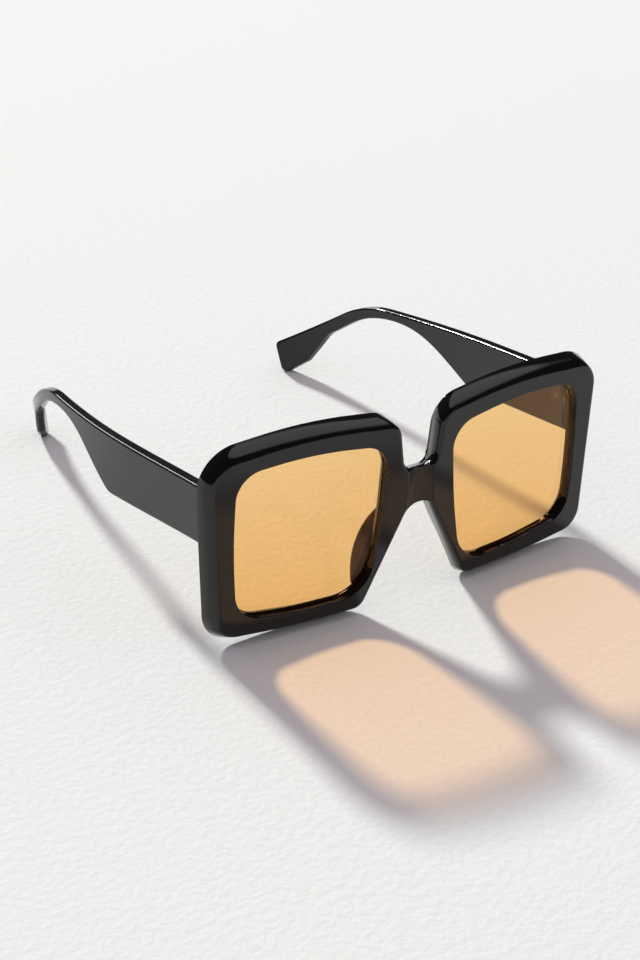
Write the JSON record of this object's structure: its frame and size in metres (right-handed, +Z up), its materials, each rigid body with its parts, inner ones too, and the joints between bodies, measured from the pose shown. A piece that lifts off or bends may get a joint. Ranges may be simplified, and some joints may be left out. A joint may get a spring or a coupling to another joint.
{
  "type": "sunglasses",
  "caption": "Oversized square sunglasses with a thick bevelled black front, amber tinted lenses and broad folding temples that narrow over the ear and flare at the tips.",
  "frame": {"origin": "on the table, under the middle of the open pair's bounding box", "axes": "+Z up from the table, the front faces -Y, the temples run back along +Y, the wearer's left is +X"},
  "size_m": [0.144, 0.1506, 0.0668],
  "materials": {
    "frame_plastic": "polished opaque black",
    "tinted_lens": "clear even amber tint",
    "hinge_metal": "black-plated satin metal"
  },
  "bodies": {
    "front": {"frame_front": "frame_plastic", "lens_left": "tinted_lens", "lens_right": "tinted_lens", "nose_pad_left": "frame_plastic", "nose_pad_right": "frame_plastic", "front_hinge_left": "hinge_metal", "front_hinge_right": "hinge_metal", "front_hinge_screws_left": "hinge_metal", "front_hinge_screws_right": "hinge_metal", "hinge_screw_left": "hinge_metal", "hinge_screw_right": "hinge_metal"},
    "temple_left_body": {"temple_left": "frame_plastic", "temple_hinge_left": "hinge_metal", "temple_hinge_screws_left": "hinge_metal", "core_wire_left": "hinge_metal"},
    "temple_right_body": {"temple_right": "frame_plastic", "temple_hinge_right": "hinge_metal", "temple_hinge_screws_right": "hinge_metal", "core_wire_right": "hinge_metal"}
  },
  "joints": [
    {"name": "temple_left_fold", "type": "hinge", "parent": "front", "child": "temple_left_body", "pos_m": [0.06676, -0.06231, 0.0443], "axis": [0, 0, 1], "range_deg": [0, 83]},
    {"name": "temple_right_fold", "type": "hinge", "parent": "front", "child": "temple_right_body", "pos_m": [-0.06676, -0.06231, 0.0443], "axis": [0, 0, -1], "range_deg": [0, 68]}
  ]
}
